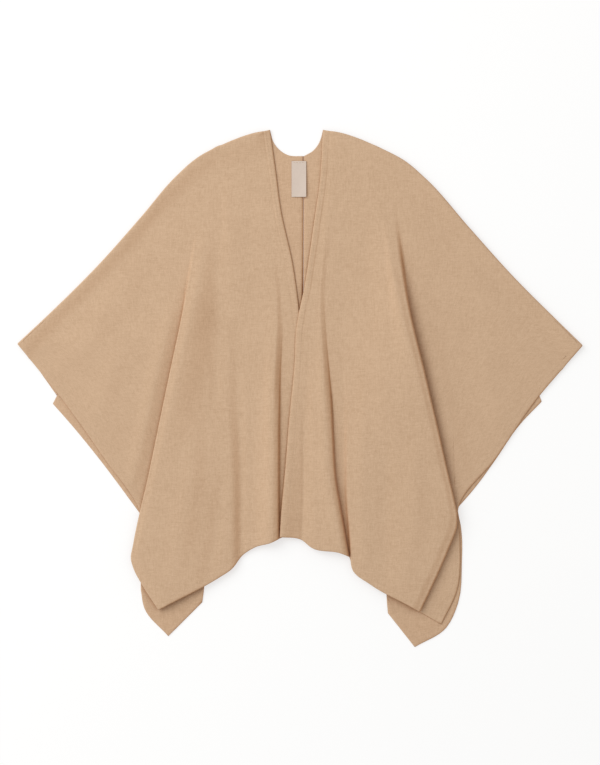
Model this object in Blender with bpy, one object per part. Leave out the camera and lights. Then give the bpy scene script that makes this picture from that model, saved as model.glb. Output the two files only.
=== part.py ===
"""A wool poncho lying flat on the floor, its front up.

Five pieces: two front panels, the two halves of the back, and the label sewn to the back of the neck.
+X is the wearer's left, +Y is towards the neck and +Z is up from the floor. Sizes are in millimetres
here and are turned into metres where the meshes are made.

Each panel is a sheet of columns that start at the top edge and fan out to the hem and the side. The
columns follow the panel's folds: a Fold is one line of cloth from the top edge to the lower edge, with
its height on the way, and the columns between two folds are spread evenly.
"""

import math
from collections import namedtuple

import bpy
import numpy as np

MM = 0.001

# Cloth: a thick double-faced wool.
CLOTH = 2.4
GAP = 0.3
BACK_LEVEL = CLOTH / 2
FRONT_LEVEL = BACK_LEVEL + CLOTH + GAP
LAPPED = CLOTH + 2 * GAP

# The shoulder: the cloth rolls over from the back to the front, and the seam is halfway round.
ROLL = 3.0
SEAM_LEVEL = BACK_LEVEL + ROLL
SEAM_LIP = 0.7
SETTLED = 30.0
FRONT_ROLL_COMES_IN = 0.05
BACK_ROLL_COMES_IN = 0.10
ROLL_TURNS = (30, 60, 90)

# The pleat between body and arm: two bends of this radius and the layer between them.
BEND = 2.4
BEND_STEPS = 5
LAYER_STEPS = 3
LEAST_LAYER = 2.5
CROWN = 2.5
CROWN_IN = 14.0

# Rows down a panel, closer together near the shoulder.
FRONT_ROWS = 26
BACK_ROWS = 12
ROW_CROWDING = 1.15

# The label: a woven tab, sewn along its top.
LABEL_WALL = 1.0
LABEL_TOP = 416.0
LABEL_LEFT = -15.5
LABEL_WIDTH = 27.0
LABEL_LENGTH = 66.0
LABEL_LIFT = 2.5
LABEL_STEPS = 6

WOOL = (0.610, 0.413, 0.266)
WOOL_BACK = (0.560, 0.370, 0.232)
LABEL_CLOTH = (0.76, 0.70, 0.62)

# Top edges, from the middle of the neck out to the wrist.
SHOULDER_RIGHT = [(-55, 473), (-95, 463), (-139, 446), (-183, 424), (-227, 386), (-287, 316),
                  (-365, 228), (-453, 140), (-516, 81)]
SHOULDER_LEFT = [(42, 473), (80, 465), (146, 439), (190, 416), (230, 382), (308, 294), (387, 206),
                 (475, 118), (516, 78)]
NECK_RIGHT = [(7, 425), (-22, 427), (-37, 436), (-47, 448), (-55, 473)]
NECK_LEFT = [(7, 425), (24, 435), (33, 446), (38, 457), (42, 473)]

# A line of cloth from the top edge down.
#   start    where it leaves the top edge: 0 at the neck to 1 at the wrist, and -1 to 0 along the neck
#   line     the places that it passes, down to the lower edge
#   lift     how far it stands above its level, at the start and at each of those places
#   columns  the columns of mesh from this line to the next one
Fold = namedtuple("Fold", "name start line lift columns")

# A pleat that comes out of flat cloth below the shoulder and lies under the body at the hem.
#   opens    the share of the way down where the cloth starts to turn
#   shut     the share of the way down where it lies double
#   depth    how far it reaches under the body at the lower edge
#   across   the way it runs at the lower edge, outwards, as an angle in plan
Pleat = namedtuple("Pleat", "opens shut depth across")

FRONT_RIGHT_BODY = [
    Fold("front_edge", 0.0, [(-45, 402), (-35, 327), (-13, 226), (-1, 138), (15, -58), (27, -268)],
         [0, 0, 0, 0, 0, 0, 0], 2),
    Fold("valley", 0.030, [(-51, 318), (-29, 162), (-34, -20), (-36, -150), (-37, -278)],
         [0, 0, 0, 0, 0, 0], 3),
    Fold("ridge", 0.052, [(-64, 318), (-42, 162), (-47, -20), (-48, -150), (-49, -281)],
         [0, 1, 5, 12, 13, 14], 2),
    Fold("rise", 0.080, [(-85, 318), (-78, 162), (-79, -20), (-80, -150), (-82, -292)],
         [0, 1, 2, 4, 4, 4], 2),
    Fold("low", 0.118, [(-118, 217), (-118, -21), (-112, -150), (-112, -311)], [0, 1, 2, 1, 0.5], 1),
    Fold("step", 0.132, [(-127, 217), (-128, -21), (-121, -150), (-120, -327)], [0, 1, 4, 5, 4], 2),
    Fold("over_pleat", 0.150, [(-161, 253), (-168, 107), (-160, -58), (-149, -346)], None, 2),
    Fold("crown", 0.168, None, None, 1),
    Fold("pleat", 0.183, [(-187, 281), (-210, 125), (-247, -39), (-274, -167), (-302, -285),
                          (-306, -310), (-301, -328), (-285, -358), (-256, -403)], None, 0),
]
FRONT_RIGHT_PLEAT = Pleat(0.13, 0.36, 98.0, 208)
FRONT_RIGHT_ARM = [
    Fold("under_pleat", 0.217, None, None, 2),
    Fold("hem_corner", 0.250, [(-217, 253), (-236, 107), (-252, -76), (-257, -204), (-245, -383)],
         None, 1),
    Fold("side_low", 0.300, [(-229, 253), (-247, 107), (-265, -76), (-272, -204), (-282, -296)],
         None, 1),
    Fold("side_at_pleat", 0.36, [(-291, -230)], None, 2),
    Fold("side_middle", 0.55, [(-357, -129)], None, 2),
    Fold("side_high", 0.77, [(-437, -17)], None, 2),
    Fold("wrist", 1.0, [(-494, 54)], None, 0),
]

FRONT_LEFT_BODY = [
    Fold("front_edge", 0.0, [(37, 387), (25, 299), (9, 191), (-7, 107), (-10, 47), (-19, -100),
                             (-29, -220), (-33, -270)],
         [0, 0, 1, LAPPED, LAPPED, LAPPED, 6, 9, 10], 2),
    Fold("crease", 0.030, [(44, 345), (22, 162), (8, -39), (5, -281)],
         [0, 0, LAPPED, LAPPED, 6], 2),
    Fold("ridge", 0.060, [(42, 144), (47, 16), (53, -69), (63, -153), (72, -237), (75, -304)],
         [0, 3, 8, 11, 14, 15, 15], 2),
    Fold("valley", 0.085, [(54, 144), (60, 16), (66, -69), (80, -153), (89, -237), (92, -307)],
         [0, 1, 2, 2, 1, 1, 1], 1),
    Fold("step", 0.105, [(70, 144), (80, 16), (84, -69), (91, -167), (95, -241), (96, -334)],
         [0, 1, 2, 2, 2, 3, 4], 2),
    Fold("over_pleat", 0.150, [(152, 253), (161, 107), (160, -58), (129, -358)], None, 2),
    Fold("crown", 0.172, None, None, 1),
    Fold("pleat", 0.188, [(172, 336), (188, 235), (220, 89), (246, -45), (268, -155), (275, -205),
                          (276, -252), (268, -284), (249, -330), (216, -406)], None, 0),
]
FRONT_LEFT_PLEAT = Pleat(0.13, 0.36, 88.0, -30)
FRONT_LEFT_ARM = [
    Fold("under_pleat", 0.221, None, None, 2),
    Fold("hem_corner", 0.250, [(216, 253), (243, 89), (262, -76), (268, -204), (258, -431)], None, 1),
    Fold("side_low", 0.300, [(236, 253), (256, 89), (272, -76), (279, -204), (287, -369)], None, 1),
    Fold("side_bulge", 0.350, [(255, 253), (268, 89), (279, -76), (284, -204), (292, -286)], None, 1),
    Fold("side_at_pleat", 0.42, [(289, -221)], None, 2),
    Fold("side_middle", 0.58, [(357, -129)], None, 2),
    Fold("side_high", 0.78, [(438, -13)], None, 2),
    Fold("wrist", 1.0, [(478, 34)], None, 0),
]

BACK_RIGHT = [
    Fold("centre_seam", -1.0, [(6, 80), (5, -252)], None, 2),
    Fold("neck_curve", -0.55, [(-60, -262)], None, 2),
    Fold("neck_point", 0.0, [(-120, -286)], None, 2),
    Fold("inner_hem", 0.10, [(-172, -332)], None, 1),
    Fold("inner_fold", 0.16, [(-179, -391)], None, 1),
    Fold("corner", 0.21, [(-241, -453)], None, 1),
    Fold("outer_hem", 0.25, [(-285, -401)], None, 1),
    Fold("outer_fold", 0.29, [(-291, -369)], None, 1),
    Fold("side_at_pleat", 0.36, [(-291, -231)], None, 2),
    Fold("side_middle", 0.54, [(-367, -129)], None, 1),
    Fold("side_high", 0.63, [(-402, 0), (-427, -56)], None, 1),
    Fold("side_corner", 0.72, [(-417, 15), (-452, -28)], None, 1),
    Fold("side_inside", 0.79, [(-433, 15), (-444, -14)], None, 1),
    Fold("wrist", 1.0, [(-494, 57)], None, 0),
]
BACK_LEFT = [
    Fold("centre_seam", -1.0, [(6, 80), (5, -252)], None, 2),
    Fold("neck_curve", -0.55, [(60, -262)], None, 2),
    Fold("neck_point", 0.0, [(110, -300)], None, 2),
    Fold("inner_hem", 0.10, [(158, -345)], None, 1),
    Fold("inner_fold", 0.15, [(161, -411)], None, 1),
    Fold("corner", 0.20, [(210, -473)], None, 1),
    Fold("outer_hem", 0.25, [(254, -190), (268, -437)], None, 1),
    Fold("outer_fold", 0.29, [(264, -190), (289, -393)], None, 1),
    Fold("side_bulge", 0.34, [(272, -190), (296, -316)], None, 1),
    Fold("side_fold", 0.38, [(278, -190), (296, -270)], None, 1),
    Fold("side_at_pleat", 0.42, [(287, -220)], None, 1),
    Fold("side_low", 0.49, [(322, -179)], None, 1),
    Fold("side_middle", 0.56, [(355, -134)], None, 1),
    Fold("side_high", 0.63, [(385, 0), (403, -65)], None, 1),
    Fold("side_corner", 0.72, [(410, 18), (442, -24)], None, 1),
    Fold("side_inside", 0.79, [(427, 18), (436, -9)], None, 1),
    Fold("wrist", 1.0, [(478, 37)], None, 0),
]


def smoothstep(low, high, x):
    share = np.clip((np.asarray(x, float) - low) / (high - low), 0, 1)
    return share * share * (3 - 2 * share)


def cubic(at, values, where, kept=False):
    """A smooth curve through values at `at`, read at `where`. Kept, it has no high or low of its own."""
    at, values, where = (np.asarray(a, float) for a in (at, values, where))
    step = np.diff(at)
    rise = np.diff(values) / step
    slope = np.empty(len(at))
    slope[0], slope[-1] = rise[0], rise[-1]
    for i in range(1, len(at) - 1):
        before, after = rise[i - 1], rise[i]
        if not kept:
            slope[i] = (step[i] * before + step[i - 1] * after) / (step[i - 1] + step[i])
        elif before * after <= 0:
            slope[i] = 0
        else:
            slope[i] = 2 * before * after / (before + after)
    if kept:
        slope[0] = slope[-1] = 0
    i = np.clip(np.searchsorted(at, where) - 1, 0, len(step) - 1)
    t = (where - at[i]) / step[i]
    return (values[i] * (1 + 2 * t) * (1 - t) ** 2 + step[i] * slope[i] * t * (1 - t) ** 2
            + values[i + 1] * t * t * (3 - 2 * t) + step[i] * slope[i + 1] * t * t * (t - 1))


def lengths(points):
    """How far along a line each of its points is, from 0 to 1, and the line's whole length."""
    steps = np.linalg.norm(np.diff(np.asarray(points, float)[:, :2], axis=0), axis=1)
    run = np.concatenate([[0], np.cumsum(steps)])
    return run / run[-1], run[-1]


def along(points, shares):
    """Places on the smooth curve through points, at shares of its length."""
    points = np.asarray(points, float)
    at, _ = lengths(points)
    return np.stack([cubic(at, points[:, k], shares) for k in (0, 1)], axis=-1)


def top_edge(shoulder, neck, start):
    return along(neck, start + 1) if start < 0 else along(shoulder, start)


def fold_line(fold, top, down):
    """Places of one fold at shares of the way down, and its lift there."""
    points = [tuple(top)] + list(fold.line)
    at, _ = lengths(points)
    lift = np.zeros(len(down)) if fold.lift is None else cubic(at, fold.lift, down, kept=True)
    return along(points, down), lift


def between(folds, column):
    """The fold before this column, and the share of the way to the next one."""
    for i, fold in enumerate(folds[:-1]):
        if column < fold.columns or i == len(folds) - 2:
            return i, column / fold.columns
        column -= fold.columns


def spread(folds, column, down, shoulder, neck, lines):
    """The line of a column in plan. Its top follows the top edge, also between two folds."""
    i, share = between(folds, column)
    start = folds[i].start + share * (folds[i + 1].start - folds[i].start)
    tops = [top_edge(shoulder, neck, s) for s in (folds[i].start, folds[i + 1].start, start)]
    off = tops[2] - (tops[0] + share * (tops[1] - tops[0]))
    line = lines[i] + share * (lines[i + 1] - lines[i])
    return line + off * ((1 - down) ** 2)[:, None]


def turned(pleat, down):
    """How far the pleat's cloth has turned over at shares of the way down, and the layer in it."""
    turn = math.pi * smoothstep(pleat.opens, pleat.shut, down)
    start = 0.5 * (pleat.opens + pleat.shut)
    grown = np.clip((np.asarray(down) - start) / (1 - start), 0, 1)
    return turn, LEAST_LAYER + (pleat.depth - LEAST_LAYER) * grown


def pleat_section(turn, layer):
    """Points across one section of the pleat: how far out and how far down from its upper fold."""
    bend = math.pi * BEND / BEND_STEPS
    ups = [turn * (i + 0.5) / BEND_STEPS for i in range(BEND_STEPS)]
    runs = [(bend, a) for a in ups] + [(layer / LAYER_STEPS, turn)] * LAYER_STEPS
    runs += [(bend, a) for a in reversed(ups)]
    out = np.cumsum([0] + [run * math.cos(a) for run, a in runs])
    fall = np.cumsum([0] + [run * math.sin(a) for run, a in runs])
    return out, fall


def rolled(start, level):
    """How much of the shoulder's roll a column has: none along the neck, and all of it further out."""
    comes_in = FRONT_ROLL_COMES_IN if level == FRONT_LEVEL else BACK_ROLL_COMES_IN
    return float(smoothstep(0, comes_in, start))


def shoulder_rows(line, height, level, start):
    """The first rows of a column: up or down round the shoulder's roll, or flat at the neck."""
    side = 1 if level == FRONT_LEVEL else -1
    inward = (line[1] - line[0]) / np.linalg.norm(line[1] - line[0])
    lip = GAP / 2 + SEAM_LIP
    rows = [(0, GAP / 2), (0, lip)]
    for turn in ROLL_TURNS:
        angle = math.radians(turn)
        rows.append((ROLL * (1 - math.cos(angle)), lip + (ROLL - lip) * math.sin(angle)))
    share = rolled(start, level)
    points = []
    for (reach, rise), flat in zip(rows, np.linspace(0, ROLL, len(rows))):
        place = line[0] + inward * (flat + share * (reach - flat))
        points.append((*place, height[0] + share * (SEAM_LEVEL + side * rise - height[0])))
    return points


def column_shares(length, rows):
    """Shares of the way down for a column's rows below the roll."""
    first = ROLL / length
    spacing = np.linspace(0, 1, rows + 1)[1:] ** ROW_CROWDING
    return first + (1 - first) * spacing


def settle(down, length, start):
    """The front stands as high as the roll at the shoulder and comes down to rest on the back."""
    high = rolled(start, FRONT_LEVEL) * (SEAM_LEVEL + ROLL - FRONT_LEVEL)
    return high * np.exp(-((np.maximum(down * length - ROLL, 0) / SETTLED) ** 2))


def column_length(fold, top):
    return lengths([tuple(top)] + list(fold.line or []))[1]


def panel_column(place, level_at, length, level, rows, start):
    """One column of a panel: the roll's rows, then rows down to the lower edge."""
    down = np.concatenate([[0, 0.01], column_shares(length, rows)])
    line = place(down)
    height = level_at(down)
    points = shoulder_rows(line[:2], height, level, start)
    return points + [(x, y, z) for (x, y), z in zip(line[2:], height[2:])]


def front_columns(shoulder, body, pleat, arm, rows):
    """The columns of a front panel, from its front edge through the pleat to the wrist."""
    tops = {fold.name: along(shoulder, fold.start) for fold in body + arm}
    columns = []

    def pleat_frame(down):
        """The pleat's upper fold, the way across it, and the drop from the body to the arm."""
        upper, _ = fold_line(body[-1], tops["pleat"], down)
        first = tops["under_pleat"] - tops["pleat"]
        first = first / np.linalg.norm(first)
        last = np.array([math.cos(math.radians(pleat.across)), math.sin(math.radians(pleat.across))])
        share = smoothstep(0, 1, down)[:, None]
        across = first + share * (last - first)
        across /= np.linalg.norm(across, axis=1)[:, None]
        turn, layer = turned(pleat, down)
        sections = [pleat_section(t, w) for t, w in zip(turn, layer)]
        return upper, across, sections

    def body_sections(down):
        lines, lifts = [], []
        upper, across, sections = pleat_frame(down)
        drop = np.array([fall[-1] for _, fall in sections])
        shut = smoothstep(pleat.opens, pleat.shut, down)
        for fold in body:
            if fold.name == "crown":
                line = upper - across * CROWN_IN
                lift = drop + CROWN * shut
            else:
                line, lift = fold_line(fold, tops[fold.name], down)
            if fold.name == "pleat":
                lift = drop
            if fold.name == "over_pleat":
                lift = drop * (0.6 + 0.35 * smoothstep(0.3, 0.7, down))
            lines.append(line)
            lifts.append(lift)
        return lines, lifts

    def body_heights(lines, lifts, column):
        i, share = between(body, column)
        heights = []
        for row in range(len(lines[0])):
            places = np.array([line[row] for line in lines])
            run = np.concatenate([[0], np.cumsum(np.linalg.norm(np.diff(places, axis=0), axis=1))])
            where = run[i] + share * (run[i + 1] - run[i])
            heights.append(float(cubic(run, [lift[row] for lift in lifts], where, kept=True)))
        return np.array(heights)

    count = sum(fold.columns for fold in body)
    for column in range(count + 1):
        i, share = between(body, column)
        start = body[i].start + share * (body[i + 1].start - body[i].start)
        reach = [column_length(body[k] if body[k].line else body[-1], tops[body[k].name])
                 for k in (i, i + 1)]
        length = reach[0] + share * (reach[1] - reach[0])

        def place(down):
            lines, _ = body_sections(down)
            return spread(body, column, down, shoulder, None, lines)

        def height(down):
            lines, lifts = body_sections(down)
            return FRONT_LEVEL + settle(down, length, start) + body_heights(lines, lifts, column)

        columns.append(panel_column(place, height, length, FRONT_LEVEL, rows, start))

    length = column_length(body[-1], tops["pleat"])
    for step in range(1, 2 * BEND_STEPS + LAYER_STEPS + 1):

        def place(down):
            upper, across, sections = pleat_frame(down)
            out = np.array([section[0][step] for section in sections])
            return upper + across * out[:, None]

        def height(down):
            _, _, sections = pleat_frame(down)
            above = np.array([section[1][-1] - section[1][step] for section in sections])
            return FRONT_LEVEL + settle(down, length, body[-1].start) + above

        columns.append(panel_column(place, height, length, FRONT_LEVEL, rows, body[-1].start))

    count = sum(fold.columns for fold in arm)
    for column in range(1, count + 1):
        i, share = between(arm, column)

        def arm_lines(down):
            upper, across, sections = pleat_frame(down)
            lines = [upper + across * np.array([out[-1] for out, _ in sections])[:, None]]
            return lines + [fold_line(fold, tops[fold.name], down)[0] for fold in arm[1:]]

        def place(down):
            return spread(arm, column, down, shoulder, None, arm_lines(down))

        reach = [length] + [column_length(fold, tops[fold.name]) for fold in arm[1:]]
        own = reach[i] + share * (reach[i + 1] - reach[i])

        def height(down):
            return FRONT_LEVEL + settle(down, own, arm[i].start)

        columns.append(panel_column(place, height, own, FRONT_LEVEL, rows, arm[i].start))
    return np.array(columns)


def back_columns(shoulder, neck, folds, rows, seam_side):
    """The columns of one half of the back, from the centre seam to the wrist. It lies on the floor."""
    tops = [top_edge(shoulder, neck, fold.start) for fold in folds]
    columns = []
    for column in range(sum(fold.columns for fold in folds) + 1):
        i, share = between(folds, column)
        start = folds[i].start + share * (folds[i + 1].start - folds[i].start)
        reach = [column_length(folds[k], tops[k]) for k in (i, i + 1)]
        length = reach[0] + share * (reach[1] - reach[0])

        def place(down):
            lines = [fold_line(fold, top, down)[0] for fold, top in zip(folds, tops)]
            line = spread(folds, column, down, shoulder, neck, lines)
            if column == 0:
                line = line + (seam_side * GAP / 2, 0)
            return line

        def height(down):
            return np.full(len(down), BACK_LEVEL)

        columns.append(panel_column(place, height, length, BACK_LEVEL, rows, start))
    return np.array(columns)


def material(name, colour, roughness):
    made = bpy.data.materials.new(name)
    made.use_nodes = True
    shader = made.node_tree.nodes["Principled BSDF"]
    shader.inputs["Base Color"].default_value = (*colour, 1)
    shader.inputs["Roughness"].default_value = roughness
    shader.inputs["Metallic"].default_value = 0
    return made


def sheet(name, columns, wall, finish):
    """A panel: its columns joined into a sheet, and the sheet given its wall."""
    across, rows, _ = columns.shape
    faces = []
    for i in range(across - 1):
        for j in range(rows - 1):
            a = i * rows + j
            faces.append((a, a + rows, a + rows + 1, a + 1))
    mesh = bpy.data.meshes.new(name)
    mesh.from_pydata((columns.reshape(-1, 3) * MM).tolist(), [], faces)
    mesh.materials.append(finish)
    mesh.shade_smooth()
    panel = bpy.data.objects.new(name, mesh)
    bpy.context.scene.collection.objects.link(panel)
    solidify = panel.modifiers.new("wall", "SOLIDIFY")
    solidify.thickness = wall * MM
    solidify.offset = 0
    return panel


def label_columns():
    """The label hangs down from its sewn top edge, its wearer's-left edge a little lifted."""
    level = BACK_LEVEL + CLOTH / 2 + GAP + LABEL_WALL / 2
    columns = []
    for i in range(LABEL_STEPS + 1):
        across = i / LABEL_STEPS
        column = []
        for j in range(LABEL_STEPS + 1):
            down = j / LABEL_STEPS
            lift = LABEL_LIFT * across**2 * math.sin(math.pi / 2 * down)
            column.append((LABEL_LEFT + LABEL_WIDTH * across, LABEL_TOP - LABEL_LENGTH * down,
                           level + lift))
        columns.append(column)
    return np.array(columns)


def main():
    for old in list(bpy.data.objects):
        bpy.data.objects.remove(old, do_unlink=True)
    wool = material("wool", WOOL, 0.95)
    wool_back = material("wool_back", WOOL_BACK, 0.95)
    label_cloth = material("label_cloth", LABEL_CLOTH, 0.6)
    sheet("back_right", back_columns(SHOULDER_RIGHT, NECK_RIGHT, BACK_RIGHT, BACK_ROWS, -1),
          CLOTH, wool_back)
    sheet("back_left", back_columns(SHOULDER_LEFT, NECK_LEFT, BACK_LEFT, BACK_ROWS, 1),
          CLOTH, wool_back)
    sheet("front_right", front_columns(SHOULDER_RIGHT, FRONT_RIGHT_BODY, FRONT_RIGHT_PLEAT,
                                       FRONT_RIGHT_ARM, FRONT_ROWS), CLOTH, wool)
    sheet("front_left", front_columns(SHOULDER_LEFT, FRONT_LEFT_BODY, FRONT_LEFT_PLEAT,
                                      FRONT_LEFT_ARM, FRONT_ROWS), CLOTH, wool)
    sheet("care_label", label_columns(), LABEL_WALL, label_cloth)


main()
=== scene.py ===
import math

import bpy
import numpy as np
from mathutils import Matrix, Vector


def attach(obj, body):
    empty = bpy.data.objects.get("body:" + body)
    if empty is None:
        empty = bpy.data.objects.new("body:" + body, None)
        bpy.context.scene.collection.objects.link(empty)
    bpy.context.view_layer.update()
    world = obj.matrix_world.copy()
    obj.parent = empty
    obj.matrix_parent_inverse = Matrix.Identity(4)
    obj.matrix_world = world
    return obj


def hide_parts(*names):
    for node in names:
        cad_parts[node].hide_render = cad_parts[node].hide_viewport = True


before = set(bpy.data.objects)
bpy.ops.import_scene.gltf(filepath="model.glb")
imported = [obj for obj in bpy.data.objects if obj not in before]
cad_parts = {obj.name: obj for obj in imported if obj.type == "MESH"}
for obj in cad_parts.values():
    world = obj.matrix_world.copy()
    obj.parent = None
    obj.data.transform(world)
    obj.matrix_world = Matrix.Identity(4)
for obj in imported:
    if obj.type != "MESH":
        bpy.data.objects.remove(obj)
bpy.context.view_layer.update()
bpy.ops.object.select_all(action="DESELECT")

# Lengths are in millimetres up to the point where a mesh is made.
mm = 0.001

# The cloth that all four panels are cut from, and how it lies.
cloth = {
    "thickness": 2.4,
    "backLevel": 1.2,       # the middle of the back's cloth, above the floor
    "frontLevel": 3.9,      # the middle of the fronts' cloth where they lie on the back
    "seamLevel": 4.2,       # the shoulder seam, halfway round the roll
    "seamGap": 0.3,
    "seamStep": 0.35,       # the mesh's first step away from the seam
    "seamLip": 0.7,
    "roll": 3.0,            # the radius of the roll over the shoulder
    "rollComesIn": {"front": 0.05, "back": 0.10},
    "rollTurns": (15, 30, 45, 60, 75, 90),
    "settled": 30.0,        # how far below the shoulder the front has come down on the back
}

# How a panel's mesh is spaced out.
spacing = {
    "crowding": 1.12,       # of the rows towards the shoulder
    "secondRow": 0.01,
    "firstLook": 0.97,      # the share of the way down from which a column's slant to the hem is taken
    "leastSlant": 0.3,
    "smoothedOver": 7,      # columns
    "edgeShare": 0.6,       # the most that the fine columns take of the way to the next fold
    "hemShare": 0.5,        # and the fine rows of the way to the shoulder
    "leastRoom": 0.1,
    "leastGap": 0.01,
    "creaseSteps": 120,
}

# The turned edge: where the mesh gets finer, and the edge's thicker band with its line of stitches.
edge = {
    "steps": (0, 0.4, 1.0, 2.2, 5.0, 8.5, 10.6, 11.4, 12.0, 12.6, 13.6, 16.5),
    "band": 0.32,
    "bandEnds": (9.5, 13.0),
    "groove": 0.22,
    "grooveAt": 12.0,
    "grooveWidth": 1.2,
    "hemShare": 0.15,       # how much of that shows at the hems, which are pressed flatter
    "flatter": (160.0, -40.0, 0.2),   # the front edges flatten too, from this y to this one, to this share
    "stitchedAt": 8,        # the step that the stitches follow
    "seamColumns": 2,       # the back's hem stitches start this many columns from its seam
    "rounding": 2.4,
    "seamRounding": 0.9,
    "thinnest": 0.25,
}

# The pleat between body and arm is an S of two bends and the layer between them. Its section has a
# first bend from step 0 to 1, the layer from 1 to 2, and a second bend from 2 to 3.
pleatForm = {
    "tightest": 0.55,       # the bends' share of their full length where the pleat opens
    "leastLayer": 1.0,
    "crown": 2.0,           # how far the cloth swells beside its fold, and how far in
    "crownIn": 14.0,
    "leastTurn": 1e-3,
    "bendColumns": 8,
    "layerColumns": 16,
    "end": 3.0,
}


def smoothstep(low, high, x):
    share = np.clip((np.asarray(x, float) - low) / (high - low), 0, 1)
    return share * share * (3 - 2 * share)


def slopesOf(step, rise, kept):
    # slopes of a smooth curve at its knots, along the first axis
    slopes = np.zeros((len(rise) + 1, *rise.shape[1:]))
    before, after = rise[:-1], rise[1:]
    if kept:
        both = before * after
        total = np.where(both > 0, before + after, 1)
        slopes[1:-1] = np.where(both > 0, 2 * both / total, 0)
    else:
        slopes[1:-1] = (step[1:] * before + step[:-1] * after) / (step[1:] + step[:-1])
        slopes[0], slopes[-1] = rise[0], rise[-1]
    return slopes


def hermite(first, last, step, leaving, reaching, t):
    back = 1 - t
    return (first * (1 + 2 * t) * back * back + step * leaving * t * back * back
            + last * t * t * (3 - 2 * t) - step * reaching * t * t * back)


def curveAt(at, values, where, kept=False):
    # a smooth curve through values at the shares in at; kept, it has no high or low of its own
    at, values = np.asarray(at, float), np.asarray(values, float)
    step = np.diff(at)
    slopes = slopesOf(step, np.diff(values) / step, kept)
    i = np.clip(np.searchsorted(at, where) - 1, 0, len(step) - 1)
    t = (where - at[i]) / step[i]
    return hermite(values[i], values[i + 1], step[i], slopes[i], slopes[i + 1], t)


def sharesOf(points):
    steps = np.linalg.norm(np.diff(np.asarray(points, float), axis=0), axis=1)
    run = np.concatenate([[0], np.cumsum(steps)])
    return run / run[-1], run[-1]


def along(points, where):
    points = np.asarray(points, float)
    at, _ = sharesOf(points)
    return np.stack([curveAt(at, points[:, k], where) for k in (0, 1)], axis=-1)


def pick(values, index):
    return values[index, np.arange(len(index))]


def foldGaps(places):
    return np.maximum(np.linalg.norm(np.diff(places, axis=0), axis=-1), spacing["leastGap"])


def acrossFolds(places, index, share, corners=()):
    # between fold lines: places is folds x columns x rows x 2, index is each column's fold
    gaps = foldGaps(places)[..., None]
    rise = np.diff(places, axis=0) / gaps
    leaving = slopesOf(gaps, rise, False)
    reaching = leaving.copy()
    for k in corners:
        leaving[k], reaching[k] = rise[k], rise[k - 1]
    return hermite(pick(places, index), pick(places, index + 1), pick(gaps, index),
                   pick(leaving, index), pick(reaching, index + 1), share[..., None])


def liftAcross(places, lifts, index, share):
    gaps = foldGaps(places)
    slopes = slopesOf(gaps, np.diff(lifts, axis=0) / gaps, True)
    return hermite(pick(lifts, index), pick(lifts, index + 1), pick(gaps, index),
                   pick(slopes, index), pick(slopes, index + 1), share)


def rolledShare(start, side):
    return smoothstep(0, cloth["rollComesIn"][side], start)


def topAt(panel, start):
    # the place on the shoulder line, or before 0 on the neckline, where a fold starts
    start = np.asarray(start, float)
    shoulder = along(panel["shoulder"], np.clip(start, 0, 1))
    if "neck" not in panel:
        return shoulder
    return np.where((start < 0)[..., None], along(panel["neck"], np.clip(start + 1, 0, 1)), shoulder)


def foldTops(panel, folds):
    return [topAt(panel, fold["start"]) for fold in folds]


def foldPlaces(fold, top, down):
    return along([tuple(top)] + fold["line"], down)


def foldLength(fold, top):
    return sharesOf([tuple(top)] + fold["line"])[1]


def pleatSection(pleat, turn, layer, step):
    # how far out, how far down and how far along the cloth from the pleat's upper fold
    turn = np.maximum(turn, pleatForm["leastTurn"])
    tight = pleatForm["tightest"]
    bend = math.pi * pleat["bend"] * (tight + (1 - tight) * (turn / math.pi) ** 2)
    bend = bend * (1 - pleat["eased"] * layer / pleat["depth"])
    first, second, third = (np.clip(step - k, 0, 1) for k in (0, 1, 2))
    out = bend / turn * np.sin(turn * first)
    fall = bend / turn * (1 - np.cos(turn * first))
    out = out + second * layer * np.cos(turn)
    fall = fall + second * layer * np.sin(turn)
    out = out + bend / turn * (np.sin(turn) - np.sin(turn * (1 - third)))
    fall = fall + bend / turn * (np.cos(turn * (1 - third)) - np.cos(turn))
    return out, fall, bend * first + layer * second + bend * third


def pleatSteps():
    first = np.arange(1, pleatForm["bendColumns"] + 1) / pleatForm["bendColumns"]
    layer = np.arange(1, pleatForm["layerColumns"] + 1) / pleatForm["layerColumns"]
    return np.concatenate([first, 1 + layer, 2 + first])


def pleatFrame(panel, down):
    # the pleat's upper fold, the way across it, how far its bends have turned, and its layer's depth
    body, arm, pleat = panel["body"], panel["arm"], panel["pleat"]
    top, armTop = topAt(panel, body[-1]["start"]), topAt(panel, arm[0]["start"])
    upper = foldPlaces(body[-1], top, down)
    first = (armTop - top) / np.linalg.norm(armTop - top)
    heading = math.radians(pleat["across"])
    last = np.array([math.cos(heading), math.sin(heading)])
    way = first + smoothstep(0, 1, down)[..., None] * (last - first)
    way /= np.linalg.norm(way, axis=-1)[..., None]
    turn = math.pi * smoothstep(pleat["opens"], pleat["shut"], down)
    grown = np.clip((down - pleat["shut"]) / (1 - pleat["shut"]), 0, 1)
    least = pleatForm["leastLayer"]
    return upper, way, turn, least + (pleat["depth"] - least) * grown


def settle(down, length, start):
    high = rolledShare(start, "front") * (cloth["seamLevel"] + cloth["roll"] - cloth["frontLevel"])
    return high * np.exp(-((np.maximum(down * length - cloth["roll"], 0) / cloth["settled"]) ** 2))


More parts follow.
